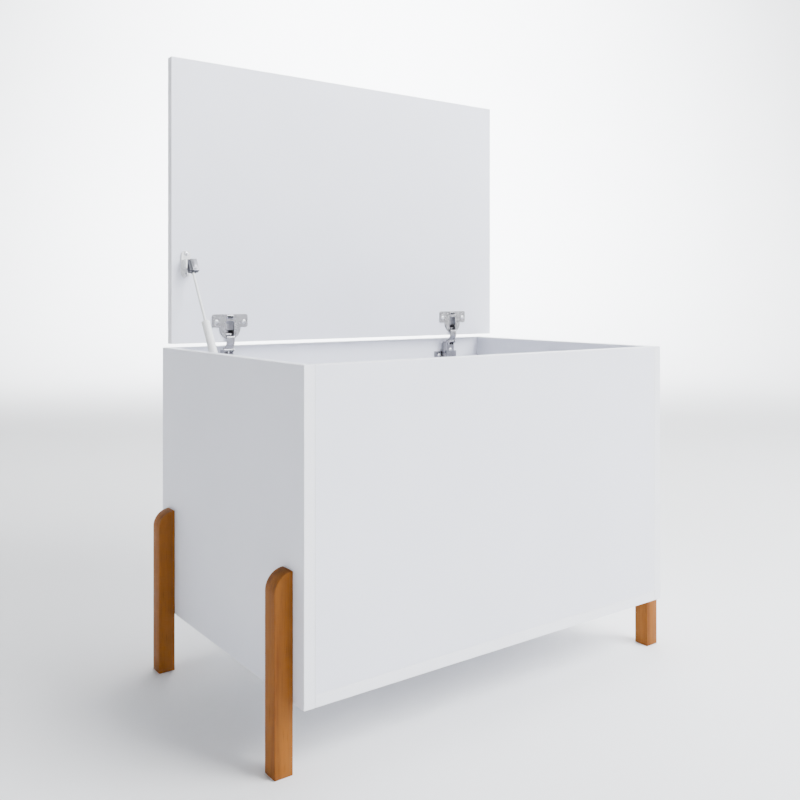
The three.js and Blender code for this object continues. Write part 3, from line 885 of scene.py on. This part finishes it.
class BENCH_OT_stage(bpy.types.Operator):
    """Make the pale floor and wall, the soft lights and the camera"""
    bl_idname = "bench.stage"
    bl_label = "Stage"

    def floor(self):
        """A round floor that curves up into a pale wall on every side."""
        inner, curve, turns = FLOOR["radius"] - FLOOR["curve"], FLOOR["curve"], FLOOR["turns"]
        profile = [(inner, 0.0)]
        for i in range(1, FLOOR["curve_steps"] + 1):
            angle = math.pi / 2 * i / FLOOR["curve_steps"]
            profile.append((inner + curve * math.sin(angle), curve - curve * math.cos(angle)))
        profile.append((FLOOR["radius"], FLOOR["tall"]))
        bm = bmesh.new()
        angles = [2 * math.pi * k / turns for k in range(turns)]
        rings = [[bm.verts.new((r * math.cos(a), r * math.sin(a), z)) for a in angles] for r, z in profile]
        bm.faces.new(rings[0])
        for low, high in zip(rings, rings[1:]):
            for k in range(turns):
                bm.faces.new((low[k - 1], high[k - 1], high[k], low[k]))
        mesh = to_mesh(bm, "floor", math.radians(60))
        mesh.materials.append(finish("floor"))
        sheet = bpy.data.objects.new("floor", mesh)
        bpy.context.scene.collection.objects.link(sheet)

    def lamp(self, name, power, size, at, aim, spread=math.pi):
        light = bpy.data.lights.new(name, "AREA")
        light.energy, light.size, light.spread = power, size, spread
        light.color = LIGHT_COLOUR
        holder = bpy.data.objects.new(name, light)
        holder.location = at
        holder.rotation_euler = (Vector(aim) - Vector(at)).to_track_quat("-Z", "Y").to_euler()
        bpy.context.scene.collection.objects.link(holder)

    def wall_lamps(self, stage):
        """Lights that wash the wall all round, each with its share of the power."""
        step = 2 * math.pi / len(WALL_SHARES)
        for i, share in enumerate(WALL_SHARES):
            turned = Matrix.Rotation(step * i - stage.turn, 3, "Z")
            shape = dict(WALL_LIGHT, at=turned @ Vector(WALL_LIGHT["at"]),
                         aim=turned @ Vector(WALL_LIGHT["aim"]))
            self.lamp(f"wall_light_{i}", stage.wash * share, **shape)

    def sky(self, tree, stage):
        """Even light from the whole room, weaker from the left than from the right."""
        room = tree.nodes["Background"]
        room.inputs["Color"].default_value = SKY_COLOUR
        axes = tree.nodes.new("ShaderNodeSeparateXYZ")
        tree.links.new(tree.nodes.new("ShaderNodeTexCoord").outputs["Generated"], axes.inputs[0])
        strength = stage.sky + stage.slant * Value(tree, axes.outputs["X"])
        tree.links.new(strength.socket, room.inputs["Strength"])

    def execute(self, context):
        stage = context.scene.bench_stage
        self.floor()
        self.lamp("key_light", stage.key, **KEY_LIGHT)
        self.lamp("top_light", stage.top, **TOP_LIGHT)
        self.wall_lamps(stage)
        world = bpy.data.worlds.new("room")
        world.use_nodes = True
        self.sky(world.node_tree, stage)
        context.scene.world = world
        camera = bpy.data.objects.new("camera", bpy.data.cameras.new("camera"))
        camera.data.lens = stage.lens
        camera.data.shift_y = stage.shift
        camera.data.clip_end = 50
        camera.location = stage.eye
        camera.rotation_euler = (math.pi / 2, 0, -stage.turn)
        context.scene.collection.objects.link(camera)
        context.scene.camera = camera
        return {"FINISHED"}


class BENCH_PT_sidebar(bpy.types.Panel):
    """Lists the bench's settings and its makers"""
    bl_idname = "BENCH_PT_sidebar"
    bl_label = "Storage bench"
    bl_space_type = "VIEW_3D"
    bl_region_type = "UI"
    bl_category = "Bench"

    def draw(self, context):
        for group, operators in PANEL_ROWS:
            box = self.layout.box()
            settings = getattr(context.scene, group)
            for name in settings.__annotations__:
                box.prop(settings, name)
            for operator in operators:
                box.operator(operator.bl_idname)


PANEL_ROWS = (
    ("bench_stage", (BENCH_OT_stage,)),
    ("bench_boards", (BENCH_OT_boards,)),
    ("bench_legs", (BENCH_OT_legs,)),
    ("bench_fittings", (BENCH_OT_screws, BENCH_OT_hinges, BENCH_OT_stay)),
)
SETTINGS = {
    "bench_stage": StageSettings,
    "bench_boards": BoardSettings,
    "bench_legs": LegSettings,
    "bench_fittings": FittingSettings,
}
OPERATORS = tuple(operator for _, operators in PANEL_ROWS for operator in operators)


def register():
    for kind in (*SETTINGS.values(), *OPERATORS, BENCH_PT_sidebar):
        bpy.utils.register_class(kind)
    for name, kind in SETTINGS.items():
        setattr(bpy.types.Scene, name, PointerProperty(type=kind))


def unregister():
    for name in SETTINGS:
        delattr(bpy.types.Scene, name)
    for kind in (BENCH_PT_sidebar, *reversed(OPERATORS), *SETTINGS.values()):
        bpy.utils.unregister_class(kind)


def main():
    register()
    for operator in OPERATORS:
        section, name = operator.bl_idname.split(".")
        getattr(getattr(bpy.ops, section), name)()


if __name__ == "__main__":
    main()
